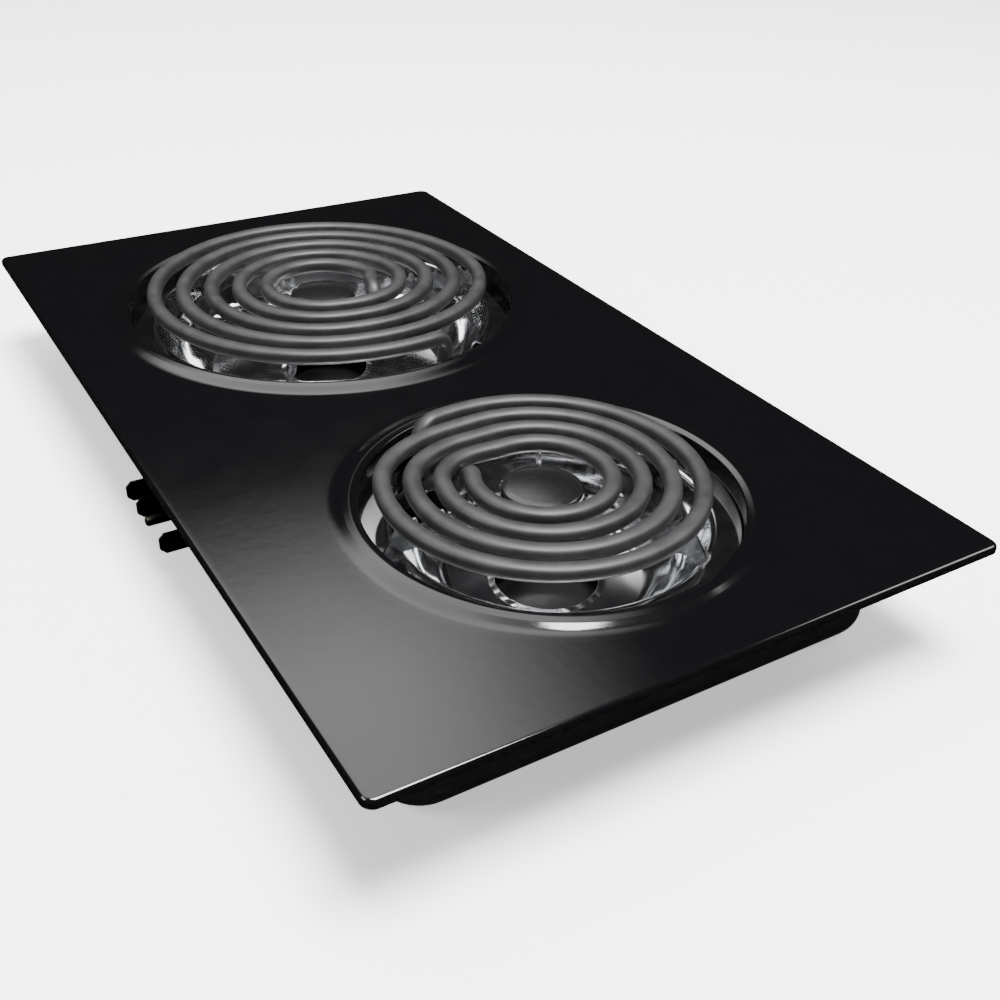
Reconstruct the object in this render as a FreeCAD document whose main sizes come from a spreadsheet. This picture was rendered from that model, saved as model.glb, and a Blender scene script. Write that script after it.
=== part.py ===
import FreeCAD, Part
import math
import os
import Sketcher

# Twin coil cooktop cartridge: an enamelled top plate over a steel burner box, with a large and
# a small plug-in heating element, each in its own drip bowl, and a four-pin plug on one side.
# Frame: origin at the bottom centre of the burner box, +Z up, +Y towards the large burner.
# Millimetres. Heights below are counted down from the top of the plate unless a name says more.

Vector = FreeCAD.Vector
doc = FreeCAD.newDocument("CooktopCartridge")

# ---------------------------------------------------------------- driving dimensions
DIMENSIONS = {
    # top plate
    "plate_length": 508, "plate_width": 292, "plate_corner": 5, "plate_edge": 2,
    "plate_skirt": 4, "sheet": 1.2, "top_height": 58,
    # raised bead round each opening and the ledge that carries the bowl
    "bead_width": 6, "bead_rise": 3, "ledge_depth": 8.8, "ledge_width": 5,
    # burner box
    "box_length": 445, "box_width": 240, "box_corner": 20, "box_floor_round": 12,
    "box_wall": 1, "flange_width": 10,
    # drip bowls
    "bowl_sheet": 0.8, "bowl_depth": 44, "bowl_hole": 23.5, "bowl_gap": 0.6,
    "slot_half": 19.5, "slot_low": 32,
    # tube, supports and medallions of the elements
    "tube": 4, "coil_height": 7.5, "strip": 1.2, "strip_depth": 8, "tooth": 3,
    "foot_depth": 8, "foot_length": 8, "foot_width": 10,
    "hub": 16.8, "medallion": 18.4, "medallion_top": 6,
    # terminals and receptacles
    "terminal_depth": 24, "terminal_half_gap": 11, "seal_length": 3, "blade_length": 18,
    "blade_thick": 2, "blade_tall": 6, "block_length": 28, "block_half": 20,
    "block_tall": 19, "leaf": 0.8, "play": 0.05, "ear": 1.2, "pin": 2,
    # plug
    "plug_depth": 29, "plug_blade_thick": 1.6, "plug_blade_tall": 10, "plug_tip": 147,
    "plug_front": 123, "plug_rear": 99, "tail_end": 88, "ground_pin": 2.4,
    "ground_shank": 2,
    # leads
    "lead": 1.5, "lead_depth": 50,
    # large burner: opening, coil centre, first ring, ring pitch, places along the terminal line
    "large_x": 2.2, "large_y": 108.2, "large_coil_x": 2.2, "large_coil_y": 108.2,
    "large_wall": 108, "large_flange": 94, "large_notch": 101.5, "large_ring": 31.3,
    "large_pitch": 15.5, "large_foot": 100, "large_tube_end": 107, "large_turn": -65,
    # small burner
    "small_x": 1.3, "small_y": -132.8, "small_coil_x": -1.2, "small_coil_y": -129.0,
    "small_wall": 83.5, "small_flange": 70, "small_notch": 79, "small_ring": 30.3,
    "small_pitch": 12.9, "small_foot": 77, "small_tube_end": 82.5, "small_turn": 120,
}

sheet = doc.addObject("Spreadsheet::Sheet", "Dimensions")
for row, (alias, number) in enumerate(DIMENSIONS.items(), start=1):
    sheet.set("A%d" % row, alias)
    sheet.set("B%d" % row, str(number))
    sheet.setAlias("B%d" % row, alias)
doc.recompute()


class Size:
    """A length worked out from the sheet, kept together with the formula that gives it."""

    def __init__(self, value, formula):
        self.value = float(value)
        self.formula = formula

    def combine(self, sign, other, swap=False):
        first, second = (as_size(other), self) if swap else (self, as_size(other))
        result = {"+": first.value + second.value, "-": first.value - second.value,
                  "*": first.value * second.value,
                  "/": first.value / second.value if sign == "/" else 0}[sign]
        return Size(result, "(%s %s %s)" % (first.formula, sign, second.formula))

    def __add__(self, other):
        return self.combine("+", other)

    def __radd__(self, other):
        return self.combine("+", other, swap=True)

    def __sub__(self, other):
        return self.combine("-", other)

    def __rsub__(self, other):
        return self.combine("-", other, swap=True)

    def __mul__(self, other):
        return self.combine("*", other)

    def __rmul__(self, other):
        return self.combine("*", other, swap=True)

    def __truediv__(self, other):
        return self.combine("/", other)

    def __neg__(self):
        return self.combine("*", -1)


def as_size(number):
    return number if isinstance(number, Size) else Size(number, repr(float(number)))


def dim(alias):
    """The sheet's cell with this alias."""
    return Size(sheet.get(alias), "Dimensions." + alias)


def bind(thing, prop, size):
    """Set a property and keep it bound to the sheet."""
    size = as_size(size)
    setattr(thing, prop, size.value)
    thing.setExpression(prop, size.formula)


def place(thing, x=0, y=0, z=0, turn=0, axis=Vector(0, 0, 1)):
    """Put an object at x, y, z, turned about an axis, with its place bound to the sheet."""
    sizes = [as_size(value) for value in (x, y, z)]
    angle = as_size(turn)
    base = Vector(*[size.value for size in sizes])
    thing.Placement = FreeCAD.Placement(base, FreeCAD.Rotation(axis, angle.value))
    for letter, size in zip("xyz", sizes):
        thing.setExpression("Placement.Base." + letter, size.formula)
    return thing


# ---------------------------------------------------------------- bodies made from sketches
def new_body(label, frame):
    """An empty body with its place; frame is the x, y, z and turn of its own axes."""
    body = doc.addObject("PartDesign::Body", label)
    body.Label = label
    place(body, *frame)
    return body


def origin_plane(body, role):
    return [face for face in body.Origin.OriginFeatures if face.Role == role][0]


def new_sketch(body, role, offset=0):
    """A sketch on one of the body's origin planes, moved along the plane's normal."""
    sketch = body.newObject("Sketcher::SketchObject", body.Label + "_sketch")
    sketch.AttachmentSupport = [(origin_plane(body, role), "")]
    sketch.MapMode = "FlatFace"
    offset = as_size(offset)
    sketch.AttachmentOffset = FreeCAD.Placement(Vector(0, 0, offset.value), FreeCAD.Rotation())
    sketch.setExpression("AttachmentOffset.Base.z", offset.formula)
    return sketch


def hold(sketch, kind, items, size):
    """Add a dimension to a sketch and bind it."""
    size = as_size(size)
    index = sketch.addConstraint(Sketcher.Constraint(kind, *items, size.value))
    sketch.setExpression("Constraints[%d]" % index, size.formula)


def outline(sketch, corners):
    """A closed outline of straight sides; each corner's place is bound."""
    corners = [(as_size(x), as_size(y)) for x, y in corners]
    points = [Vector(x.value, y.value, 0) for x, y in corners]
    first = sketch.GeometryCount
    for start, end in zip(points, points[1:] + points[:1]):
        sketch.addGeometry(Part.LineSegment(start, end), False)
    count = len(points)
    for side in range(count):
        after = first + (side + 1) % count
        sketch.addConstraint(Sketcher.Constraint("Coincident", first + side, 2, after, 1))
    for side, (x, y) in enumerate(corners):
        hold(sketch, "DistanceX", (-1, 1, first + side, 1), x)
        hold(sketch, "DistanceY", (-1, 1, first + side, 1), y)


def rectangle(sketch, x_low, y_low, x_high, y_high):
    outline(sketch, [(x_low, y_low), (x_high, y_low), (x_high, y_high), (x_low, y_high)])


def rounded_rectangle(sketch, half_x, half_y, radius):
    """A rectangle about the origin with round corners; every line end and radius is bound."""
    half_x, half_y, radius = as_size(half_x), as_size(half_y), as_size(radius)
    flat_x, flat_y = half_x - radius, half_y - radius
    ends = [((-flat_x, -half_y), (flat_x, -half_y)), ((half_x, -flat_y), (half_x, flat_y)),
            ((flat_x, half_y), (-flat_x, half_y)), ((-half_x, flat_y), (-half_x, -flat_y))]
    centres = [(flat_x, -flat_y), (flat_x, flat_y), (-flat_x, flat_y), (-flat_x, -flat_y)]
    first = sketch.GeometryCount
    for start, end in ends:
        points = [Vector(x.value, y.value, 0) for x, y in (start, end)]
        sketch.addGeometry(Part.LineSegment(*points), False)
    for corner, (x, y) in enumerate(centres):
        ring = Part.Circle(Vector(x.value, y.value, 0), Vector(0, 0, 1), radius.value)
        low = math.radians(90 * corner - 90)
        arc = sketch.addGeometry(Part.ArcOfCircle(ring, low, low + math.pi / 2), False)
        after = first + (corner + 1) % 4
        sketch.addConstraint(Sketcher.Constraint("Coincident", first + corner, 2, arc, 1))
        sketch.addConstraint(Sketcher.Constraint("Coincident", arc, 2, after, 1))
        hold(sketch, "Radius", (arc,), radius)
    for side, line in enumerate(ends):
        for end, (x, y) in enumerate(line, start=1):
            hold(sketch, "DistanceX", (-1, 1, first + side, end), x)
            hold(sketch, "DistanceY", (-1, 1, first + side, end), y)


def circle(sketch, x, y, radius):
    """A circle with bound centre and radius."""
    x, y, radius = as_size(x), as_size(y), as_size(radius)
    centre = Vector(x.value, y.value, 0)
    ring = sketch.addGeometry(Part.Circle(centre, Vector(0, 0, 1), radius.value), False)
    hold(sketch, "DistanceX", (-1, 1, ring, 3), x)
    hold(sketch, "DistanceY", (-1, 1, ring, 3), y)
    hold(sketch, "Radius", (ring,), radius)


def feature(body, kind, sketch, length=None, reverse=False, middle=False):
    """A pad, pocket, revolution or groove from a sketch."""
    step = body.newObject("PartDesign::" + kind, body.Label + "_" + kind.lower())
    step.Profile = sketch
    if kind in ("Revolution", "Groove"):
        step.ReferenceAxis = (sketch, ["V_Axis"])
        step.Angle = 360
    else:
        bind(step, "Length", length)
    step.Reversed = reverse
    step.Midplane = middle
    sketch.Visibility = False
    doc.recompute()
    return step


def edge_names(shape, keep):
    """Names of the edges whose bounding box and length pass a test."""
    return ["Edge%d" % (i + 1) for i, edge in enumerate(shape.Edges) if keep(edge)]


def fillet(body, radius, keep):
    """Round the edges of the last feature that pass a test."""
    base = body.Tip
    names = edge_names(base.Shape, keep)
    step = body.newObject("PartDesign::Fillet", body.Label + "_fillet")
    step.Base = (base, names)
    bind(step, "Radius", radius)
    doc.recompute()
    return step


def is_upright(edge):
    box = edge.BoundBox
    return box.XLength < 0.01 and box.YLength < 0.01 and box.ZLength > 0.1


def is_level_at(height):
    return lambda edge: abs(edge.BoundBox.ZMin - height) < 0.01 and edge.BoundBox.ZLength < 0.01


# ---------------------------------------------------------------- loose solids and groups
def box(x_low, y_low, z_low, x_size, y_size, z_size):
    """A box from its low corner and its sizes."""
    solid = doc.addObject("Part::Box", "box")
    for prop, size in (("Length", x_size), ("Width", y_size), ("Height", z_size)):
        bind(solid, prop, size)
    return place(solid, x_low, y_low, z_low)


def rod(x, y, z, radius, length, axis=Vector(0, 0, 1)):
    """A round bar from x, y, z along an axis."""
    solid = doc.addObject("Part::Cylinder", "rod")
    bind(solid, "Radius", radius)
    bind(solid, "Height", length)
    place(solid, x, y, z)
    solid.Placement.Rotation = FreeCAD.Rotation(Vector(0, 0, 1), axis)
    return solid


def joined(solids, label="joined"):
    """Solids fused into one."""
    union = doc.addObject("Part::MultiFuse", label)
    union.Label = label
    union.Shapes = solids
    return union


def cut(base, tool, label="cut"):
    rest = doc.addObject("Part::Cut", label)
    rest.Label = label
    rest.Base = base
    rest.Tool = tool
    return rest


def group(label, solids, frame=(0, 0, 0, 0)):
    """Separate solids that share one node."""
    set_of = doc.addObject("Part::Compound", label)
    set_of.Label = label
    set_of.Links = solids
    place(set_of, *frame)
    return set_of


# ---------------------------------------------------------------- bent tubes
def rounded_path(points, radii):
    """Edges of a run of straight lines whose inner corners are tangent arcs."""
    edges = []
    start = points[0]
    for before, corner, after, radius in zip(points, points[1:], points[2:], radii):
        inward = (before - corner).normalize()
        outward = (after - corner).normalize()
        half_turn = (math.pi - inward.getAngle(outward)) / 2
        reach = radius * math.tan(half_turn)
        bisector = (inward + outward).normalize()
        middle = corner + bisector * (radius / math.cos(half_turn) - radius)
        enter = corner + inward * reach
        leave = corner + outward * reach
        if start.distanceToPoint(enter) > 1e-6:
            edges.append(Part.LineSegment(start, enter).toShape())
        edges.append(Part.Arc(enter, middle, leave).toShape())
        start = leave
    edges.append(Part.LineSegment(start, points[-1]).toShape())
    return edges


def two_arcs(start, start_way, end, end_way):
    """Two arcs that leave start along one direction and reach end along another."""
    span = end - start
    ways = start_way + end_way
    a = 2 * (1 - start_way.dot(end_way))
    b = 2 * span.dot(ways)
    c = -span.dot(span)
    reach = -c / b if abs(a) < 1e-9 else (-b + math.sqrt(b * b - 4 * a * c)) / (2 * a)
    join = (start + end + (start_way - end_way) * reach) * 0.5
    return [tangent_arc(start, start_way, join), tangent_arc(join, None, end, end_way)]


def tangent_arc(start, start_way, end, end_way=None):
    """The arc from start to end that keeps the given direction at one of them."""
    chord = end - start
    way = start_way if end_way is None else end_way
    other = chord.normalize() * (2 * way.dot(chord)) - way
    first, last = (way, other) if end_way is None else (other, way)
    corner_turn = first.getAngle(last)
    length = start.distanceToPoint(end)
    if corner_turn < 1e-6:
        return Part.LineSegment(start, end).toShape()
    radius = length / 2 / math.sin(corner_turn / 2)
    rise = radius * (1 - math.cos(corner_turn / 2))
    outward = (first - last).normalize()
    middle = (start + end) * 0.5 + outward * rise
    return Part.Arc(start, middle, end).toShape()


def bent_tube(label, edges, radius, frame=(0, 0, 0, 0)):
    """A round bar swept along tangent lines and arcs, with its volume proved."""
    path = doc.addObject("Part::Feature", label + "_path")
    path.Shape = Part.Wire(edges)
    radius = as_size(radius)
    first = path.Shape.Edges[0]
    way = first.tangentAt(first.FirstParameter)
    section = doc.addObject("Part::Circle", label + "_section")
    bind(section, "Radius", radius)
    section.Placement = FreeCAD.Placement(first.valueAt(first.FirstParameter),
                                          FreeCAD.Rotation(Vector(0, 0, 1), way))
    tube = doc.addObject("Part::Sweep", label)
    tube.Label = label
    tube.Sections = [section]
    tube.Spine = (path, ["Edge%d" % (i + 1) for i in range(len(path.Shape.Edges))])
    tube.Solid = True
    place(tube, *frame)
    doc.recompute()
    wanted = math.pi * radius.value ** 2 * path.Shape.Length
    if abs(tube.Shape.Volume / wanted - 1) > 0.01:
        raise RuntimeError("%s: volume %.1f, not %.1f" % (label, tube.Shape.Volume, wanted))
    return tube


# ---------------------------------------------------------------- places worked out from the sheet
top = dim("top_height")
plate_x = dim("plate_width") / 2
plate_y = dim("plate_length") / 2
box_x = dim("box_width") / 2
box_y = dim("box_length") / 2
box_top = top - dim("sheet")
floor_top = dim("box_wall")
terminal_z = -dim("terminal_depth")
half_gap = dim("terminal_half_gap")
strip_top = dim("coil_height") - dim("tube") - 0.1
strip_bottom = strip_top - dim("strip_depth")
BURNERS = ("large", "small")
RINGS = {"large": 5, "small": 4}
PLUG_SCREWS = (-58, 12)
FLOOR_SCREWS = ((-94, -93), (-19, 17))
RIVET_SIDES = (-12, 12)


def opening_frame(burner):
    """Axes of a burner's opening: on the plate's top, +X towards the terminals."""
    return (dim(burner + "_x"), dim(burner + "_y"), top, dim(burner + "_turn"))


def coil_frame(burner):
    """Axes of a burner's element: the same directions, centred on the coil."""
    return (dim(burner + "_coil_x"), dim(burner + "_coil_y"), top, dim(burner + "_turn"))


def along(burner):
    """Stations along a burner's terminal line: tube end, blade, block and pivot."""
    tube_end = dim(burner + "_tube_end")
    blade = tube_end + dim("seal_length")
    block = blade + 3
    return {"tube_end": tube_end, "blade": blade, "block": block,
            "pivot": block + dim("block_length") / 2, "rear": block + dim("block_length")}


def world_point(burner, x, y, depth):
    """A place given in a burner's element axes, as a point of the part."""
    centre_x, centre_y, height, turn = [size.value for size in coil_frame(burner)]
    angle = math.radians(turn)
    return Vector(centre_x + x * math.cos(angle) - y * math.sin(angle),
                  centre_y + x * math.sin(angle) + y * math.cos(angle), height - depth)


# ---------------------------------------------------------------- top plate
def make_top_plate():
    """Pressed plate with a turned-down skirt; a bead and a ledge go round each opening."""
    body = new_body("top_plate", (0, 0, top, 0))
    sheet_now = dim("sheet")
    corner = dim("plate_corner")
    outside = new_sketch(body, "XY_Plane")
    rounded_rectangle(outside, plate_x, plate_y, corner)
    feature(body, "Pad", outside, dim("plate_skirt"), reverse=True)
    inside = new_sketch(body, "XY_Plane", -dim("plate_skirt"))
    rounded_rectangle(inside, plate_x - sheet_now, plate_y - sheet_now, corner - sheet_now)
    feature(body, "Pocket", inside, dim("plate_skirt") - sheet_now, reverse=True)
    fillet(body, dim("plate_edge") - sheet_now, is_level_at(-sheet_now.value))
    fillet(body, dim("plate_edge"), is_level_at(0))
    for burner in BURNERS:
        wall = dim(burner + "_wall")
        opening = new_sketch(body, "XY_Plane")
        circle(opening, dim(burner + "_x"), dim(burner + "_y"), wall + dim("bead_width") - 1)
        feature(body, "Pocket", opening, dim("sheet") + 1)
        rim = new_sketch(body, "XZ_Plane")
        rim.AttachmentOffset = FreeCAD.Placement(
            Vector(dim(burner + "_x").value, 0, -dim(burner + "_y").value), FreeCAD.Rotation())
        rim.setExpression("AttachmentOffset.Base.x", dim(burner + "_x").formula)
        rim.setExpression("AttachmentOffset.Base.z", (-dim(burner + "_y")).formula)
        outer = wall + dim("bead_width")
        rise = dim("bead_rise")
        ledge = dim("ledge_depth")
        outline(rim, [(outer, 0), (outer - 1.6, rise * 0.55), (outer - 3, rise),
                      (wall + 1, rise), (wall, rise - 1), (wall, -ledge),
                      (wall - dim("ledge_width"), -ledge),
                      (wall - dim("ledge_width"), -ledge - sheet_now),
                      (wall + sheet_now, -ledge - sheet_now), (wall + sheet_now, rise - 1.4),
                      (outer - 3, rise - 1.2), (outer - 1, -sheet_now), (outer, -sheet_now)])
        feature(body, "Revolution", rim)
    return body


# ---------------------------------------------------------------- burner box
def make_burner_box():
    """Deep-drawn lower pan with an outward flange at its mouth."""
    body = new_body("burner_box", (0, 0, 0, 0))
    wall = dim("box_wall")
    corner = dim("box_corner")
    outside = new_sketch(body, "XY_Plane")
    rounded_rectangle(outside, box_x, box_y, corner)
    feature(body, "Pad", outside, box_top)
    inside = new_sketch(body, "XY_Plane", wall)
    rounded_rectangle(inside, box_x - wall, box_y - wall, corner - wall)
    feature(body, "Pocket", inside, box_top - wall, reverse=True)
    fillet(body, dim("box_floor_round") - wall, is_level_at(wall.value))
    fillet(body, dim("box_floor_round"), is_level_at(0))
    rim = new_sketch(body, "XY_Plane", box_top - wall)
    reach = dim("flange_width")
    rounded_rectangle(rim, box_x + reach, box_y + reach, corner + reach)
    rounded_rectangle(rim, box_x - wall, box_y - wall, corner - wall)
    feature(body, "Pad", rim, wall)
    gate = new_sketch(body, "YZ_Plane", -box_x - 1)
    rectangle(gate, -53, top - 37, 7, top - 21)
    for y in PLUG_SCREWS:
        circle(gate, y, top - dim("plug_depth"), 1.65)
    feature(body, "Pocket", gate, wall + 3, reverse=True)
    holes = new_sketch(body, "XY_Plane", box_top)
    for x, y in stud_places():
        circle(holes, x, y, 2.3)
    feature(body, "Pocket", holes, wall * 2)
    floor = new_sketch(body, "XY_Plane", wall * 2)
    for x, y in FLOOR_SCREWS:
        circle(floor, x, y, 2.05)
    for burner in BURNERS:
        for side in RIVET_SIDES:
            spot = world_point(burner, along(burner)["pivot"].value, side, 0)
            circle(floor, spot.x, spot.y, 2)
    feature(body, "Pocket", floor, wall * 3)
    return body


def stud_places():
    """Where the plate's studs come down through the box's flange."""
    side_x = box_x + dim("flange_width") / 2
    side_y = box_y + dim("flange_width") / 2
    places = []
    for sign in (-1, 1):
        places += [(side_x * sign, 150), (side_x * sign, -150)]
        places += [(70, side_y * sign), (-70, side_y * sign)]
    return places


def make_studs():
    """Weld studs under the plate and the nuts that hold the box to them."""
    studs = []
    nuts = []
    for x, y in stud_places():
        studs.append(rod(x, y, box_top - 9, 2, 9))
        nut = doc.addObject("Part::Prism", "nut")
        nut.Polygon = 6
        nut.Circumradius = 4
        nut.Height = 3.2
        place(nut, x, y, box_top - dim("box_wall") - 3.2)
        nuts.append(cut(nut, rod(x, y, box_top - 9, 2.05, 9)))
    group("weld_studs", studs)
    group("stud_nuts", nuts)


# ---------------------------------------------------------------- drip bowls
def make_drip_bowl(burner):
    """Spun bowl with a flat flange, a hole in its floor and a slot for the terminals."""
    body = new_body(burner + "_drip_bowl", opening_frame(burner))
    skin = dim("bowl_sheet")
    outer = dim(burner + "_wall") - dim("bowl_gap")
    inner = dim(burner + "_flange")
    hole = dim("bowl_hole")
    depth = dim("bowl_depth")
    upper = dim("ledge_depth") - skin
    profile = new_sketch(body, "XZ_Plane")
    inside = [(inner, -upper), (inner - 2, -upper - 3), (inner - 5, -upper - 14),
              (inner - 10, -upper - 23), (inner - 18, -upper - 30), (inner - 30, -depth + 2),
              (hole + 4, -depth), (hole, -depth + 1)]
    outside = [(hole, -depth + 1 - skin), (hole + 4, -depth - skin),
               (inner - 30, -depth + 2 - skin), (inner - 17.6, -upper - 30.8),
               (inner - 9.3, -upper - 23.6), (inner - 4.2, -upper - 14.3),
               (inner - 1.2, -upper - 3), (inner + 0.4, -upper - skin)]
    outline(profile, [(outer, -upper)] + inside + outside + [(outer, -upper - skin)])
    feature(body, "Revolution", profile)
    slot = new_sketch(body, "XY_Plane")
    half = dim("slot_half")
    rectangle(slot, dim(burner + "_notch") - 26, -half, dim(burner + "_notch"), half)
    feature(body, "Pocket", slot, dim("slot_low"))
    return body


# ---------------------------------------------------------------- heating coils
def ring_point(radius, degrees, height):
    angle = math.radians(degrees)
    return Vector(radius * math.cos(angle), radius * math.sin(angle), height)


def ring_way(degrees):
    """Direction of travel on a ring, counter-clockwise."""
    angle = math.radians(degrees)
    return Vector(-math.sin(angle), math.cos(angle), 0)


def ring_arc(radius, start, end, height):
    """An arc about the coil's centre."""
    points = [ring_point(radius, angle, height) for angle in (start, (start + end) / 2, end)]
    return Part.Arc(*points).toShape()


# per burner: where the step from ring to ring starts and ends, where the tube leaves the first
# and the last ring (degrees from the terminal line), radius and length of the inner tail, and
# the stations along the terminal line where the inner leg dives, runs under the rings and falls
COIL_SHAPE = {
    "large": {"step": (-39.5, 74.5), "inner": (51.6, 27.7), "tail": 9.5, "outer": -13,
              "dive": (28.5, 62, 84), "dive_radii": (6.5, 8, 20, 20)},
    "small": {"step": (-27.7, 35.3), "inner": (33.5, 30.3), "tail": 7, "outer": -19,
              "dive": (34.6, 50, 68), "dive_radii": (6.5, 6.5, 14, 14)},
}


def make_heating_coil(burner):
    """Sheathed tube: stepped flat spiral with both ends bent down and out to the terminals."""
    shape = COIL_SHAPE[burner]
    height = dim("coil_height").value
    low = terminal_z.value
    side = half_gap.value
    ring = dim(burner + "_ring").value
    pitch = dim(burner + "_pitch").value
    tube_end = dim(burner + "_tube_end").value
    under = height - 11
    step_start, step_end = shape["step"]
    tail_angle, tail_radius = shape["inner"]
    tail = ring_point(tail_radius, tail_angle, height)
    tail_way = ring_way(tail_angle)
    knee = tail - tail_way * shape["tail"]
    dive_start, dive_run, dive_end = shape["dive"]
    inner_leg = [Vector(tube_end, side, low), Vector(dive_end, side, low),
                 Vector(dive_run, side, under), Vector(dive_start, side, under), knee, tail]
    edges = rounded_path(inner_leg, tuple(reversed(shape["dive_radii"])))
    edges += two_arcs(tail, tail_way, ring_point(ring, step_end, height), ring_way(step_end))
    last = RINGS[burner] - 1
    for turn in range(last):
        radius = ring + pitch * turn
        edges.append(ring_arc(radius, step_end, step_start + 360, height))
        edges += two_arcs(ring_point(radius, step_start, height), ring_way(step_start),
                          ring_point(radius + pitch, step_end, height), ring_way(step_end))
    radius = ring + pitch * last
    leave = shape["outer"]
    edges.append(ring_arc(radius, step_end, leave + 360, height))
    start = ring_point(radius, leave, height)
    way = ring_way(leave)
    bend = start + way * ((-side - start.y) / way.y)
    outer_leg = [start, bend, Vector(bend.x - 2.5, -side, low), Vector(tube_end, -side, low)]
    edges += rounded_path(outer_leg, (8.5, 8.5))
    return bent_tube(burner + "_heating_coil", edges, dim("tube"), coil_frame(burner))


def make_coil_support(burner):
    """Three strips on edge from a hub, with teeth between the turns and feet on the bowl."""
    body = new_body(burner + "_coil_support", coil_frame(burner))
    foot = dim(burner + "_foot")
    pitch = dim(burner + "_pitch")
    ring = dim(burner + "_ring")
    tooth_half = dim("tooth") / 2
    strip = new_sketch(body, "XZ_Plane")
    upper = [(-10, -0.2), (-19.6, -0.2), (-20.8, strip_top)]
    for gap in range(RINGS[burner]):
        middle = ring + pitch * (gap - 0.5) if gap else ring - pitch / 2 - 0.6
        upper += [(-(middle - tooth_half - 0.6), strip_top),
                  (-(middle - tooth_half + 0.4), strip_top + 3),
                  (-(middle + tooth_half - 0.4), strip_top + 3),
                  (-(middle + tooth_half + 0.6), strip_top)]
    outer_ring = ring + pitch * (RINGS[burner] - 1)
    upper += [(-(outer_ring + 2), strip_top), (-foot, -dim("foot_depth") + 1),
              (-foot, -dim("foot_depth"))]
    lower = [(-(foot - 20), -dim("foot_depth")), (-(foot - 27), strip_bottom),
             (-10, strip_bottom)]
    outline(strip, upper + lower)
    feature(body, "Pad", strip, dim("strip"), middle=True)
    sole = new_sketch(body, "XY_Plane", -dim("foot_depth"))
    rectangle(sole, -foot, -dim("foot_width") / 2, dim("foot_length") - foot,
              dim("foot_width") / 2)
    feature(body, "Pad", sole, dim("strip"))
    pattern = body.newObject("PartDesign::PolarPattern", body.Label + "_pattern")
    pattern.Originals = [step for step in body.Group if step.TypeId == "PartDesign::Pad"]
    pattern.Axis = (strip, ["V_Axis"])
    pattern.Angle = 360
    pattern.Occurrences = 3
    body.Tip = pattern
    doc.recompute()
    disc = new_sketch(body, "XY_Plane", strip_bottom)
    circle(disc, 0, 0, dim("hub"))
    feature(body, "Pad", disc, dim("strip"))
    post = new_sketch(body, "XY_Plane", strip_bottom)
    circle(post, 0, 0, 5)
    feature(body, "Pad", post, dim("medallion_top") - 1.2 - strip_bottom)
    return body


def make_medallion(burner):
    """Domed cap over the hub."""
    body = new_body(burner + "_medallion", coil_frame(burner))
    crown = dim("medallion_top")
    edge = dim("medallion")
    profile = new_sketch(body, "XZ_Plane")
    outline(profile, [(0, crown), (edge - 7, crown - 0.4), (edge - 2, crown - 1),
                      (edge - 0.4, crown - 1.8), (edge, crown - 3), (edge, crown - 6),
                      (edge - 0.8, crown - 6), (edge - 0.8, crown - 3),
                      (edge - 2.2, crown - 2), (edge - 7, crown - 1.2), (0, crown - 1.2)])
    feature(body, "Revolution", profile)
    return body


# ---------------------------------------------------------------- terminals of an element
def make_terminals(burner):
    """Ceramic seals and blades on the two tube ends, and the bracket that spaces the legs."""
    at = along(burner)
    thick = dim("blade_thick")
    tall = dim("blade_tall")
    for name, side in (("outer", -half_gap), ("inner", half_gap)):
        seal = rod(0, 0, 0, dim("tube") - 0.4, dim("seal_length"), Vector(1, 0, 0))
        place_in(seal, burner, at["tube_end"], side, terminal_z, burner + "_%s_seal" % name)
        body = new_body(burner + "_%s_terminal" % name, coil_frame(burner))
        blade = new_sketch(body, "XZ_Plane", -side)
        start = at["blade"]
        end = start + dim("blade_length")
        outline(blade, [(start, terminal_z - tall / 2), (end - 2, terminal_z - tall / 2),
                        (end, terminal_z - tall / 2 + 2), (end, terminal_z + tall / 2 - 2),
                        (end - 2, terminal_z + tall / 2), (start, terminal_z + tall / 2)])
        feature(body, "Pad", blade, thick, middle=True)
    body = new_body(burner + "_terminal_bracket", coil_frame(burner))
    plate = new_sketch(body, "YZ_Plane", at["tube_end"] - 3)
    rectangle(plate, -half_gap - 6, terminal_z - 6, half_gap + 6, terminal_z + 6)
    for side in (-half_gap, half_gap):
        circle(plate, side, terminal_z, dim("tube") + 0.02)
    feature(body, "Pad", plate, 1.2)


def place_in(solid, burner, x, y, z, label):
    """Put a loose solid at x, y, z in a burner's element axes, under its own label."""
    frame = coil_frame(burner)
    angle = "Dimensions.%s_turn * 1 deg" % burner
    turn = math.radians(frame[3].value)
    x, y, z = as_size(x), as_size(y), as_size(z)
    east = x.value * math.cos(turn) - y.value * math.sin(turn)
    north = x.value * math.sin(turn) + y.value * math.cos(turn)
    solid.Placement = FreeCAD.Placement(
        Vector(frame[0].value + east, frame[1].value + north, frame[2].value + z.value),
        FreeCAD.Rotation(Vector(0, 0, 1), frame[3].value) * solid.Placement.Rotation)
    solid.setExpression("Placement.Base.x", "%s + %s * cos(%s) - %s * sin(%s)" % (
        frame[0].formula, x.formula, angle, y.formula, angle))
    solid.setExpression("Placement.Base.y", "%s + %s * sin(%s) + %s * cos(%s)" % (
        frame[1].formula, x.formula, angle, y.formula, angle))
    solid.setExpression("Placement.Base.z", "%s + %s" % (frame[2].formula, z.formula))
    solid.Label = label
    return solid


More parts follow.
